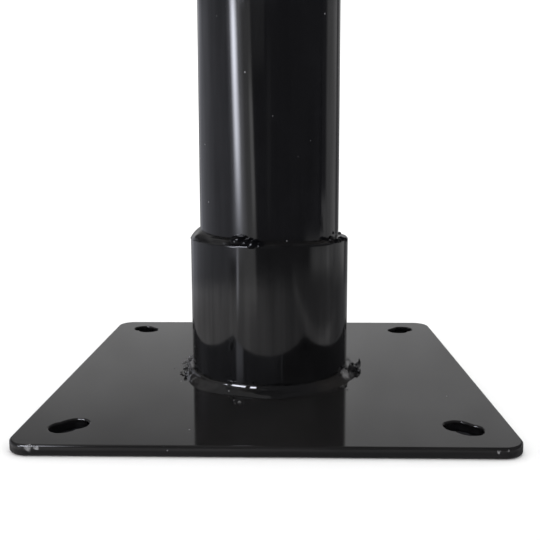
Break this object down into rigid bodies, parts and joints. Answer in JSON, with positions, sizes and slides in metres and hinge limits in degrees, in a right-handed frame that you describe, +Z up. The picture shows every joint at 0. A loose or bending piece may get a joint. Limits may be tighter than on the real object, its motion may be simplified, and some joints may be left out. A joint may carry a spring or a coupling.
{
  "type": "pool handrail",
  "caption": "Deck-mounted pool handrail: one bent black steel tube as an inverted U, each end in a welded sleeve on a square slotted base plate.",
  "frame": {"origin": "on the deck under the middle of the rail, halfway between the two posts", "axes": "+X from the left post to the right post, +Y through the rail's plane, away from the pictured side, +Z up"},
  "size_m": [0.756, 0.146, 0.864],
  "materials": {
    "tube_paint": "gloss black paint",
    "sleeve_paint": "gloss black paint, a little thicker and wavier",
    "plate_paint": "gloss black paint with light scuffs and dust",
    "weld_paint": "gloss black paint over hand-laid weld bead"
  },
  "bodies": {
    "root": {"rail_tube": "tube_paint", "left_base_plate": "plate_paint", "left_sleeve": "sleeve_paint", "left_foot_weld": "weld_paint", "left_rim_weld": "weld_paint", "right_base_plate": "plate_paint", "right_sleeve": "sleeve_paint", "right_foot_weld": "weld_paint", "right_rim_weld": "weld_paint"}
  },
  "joints": []
}
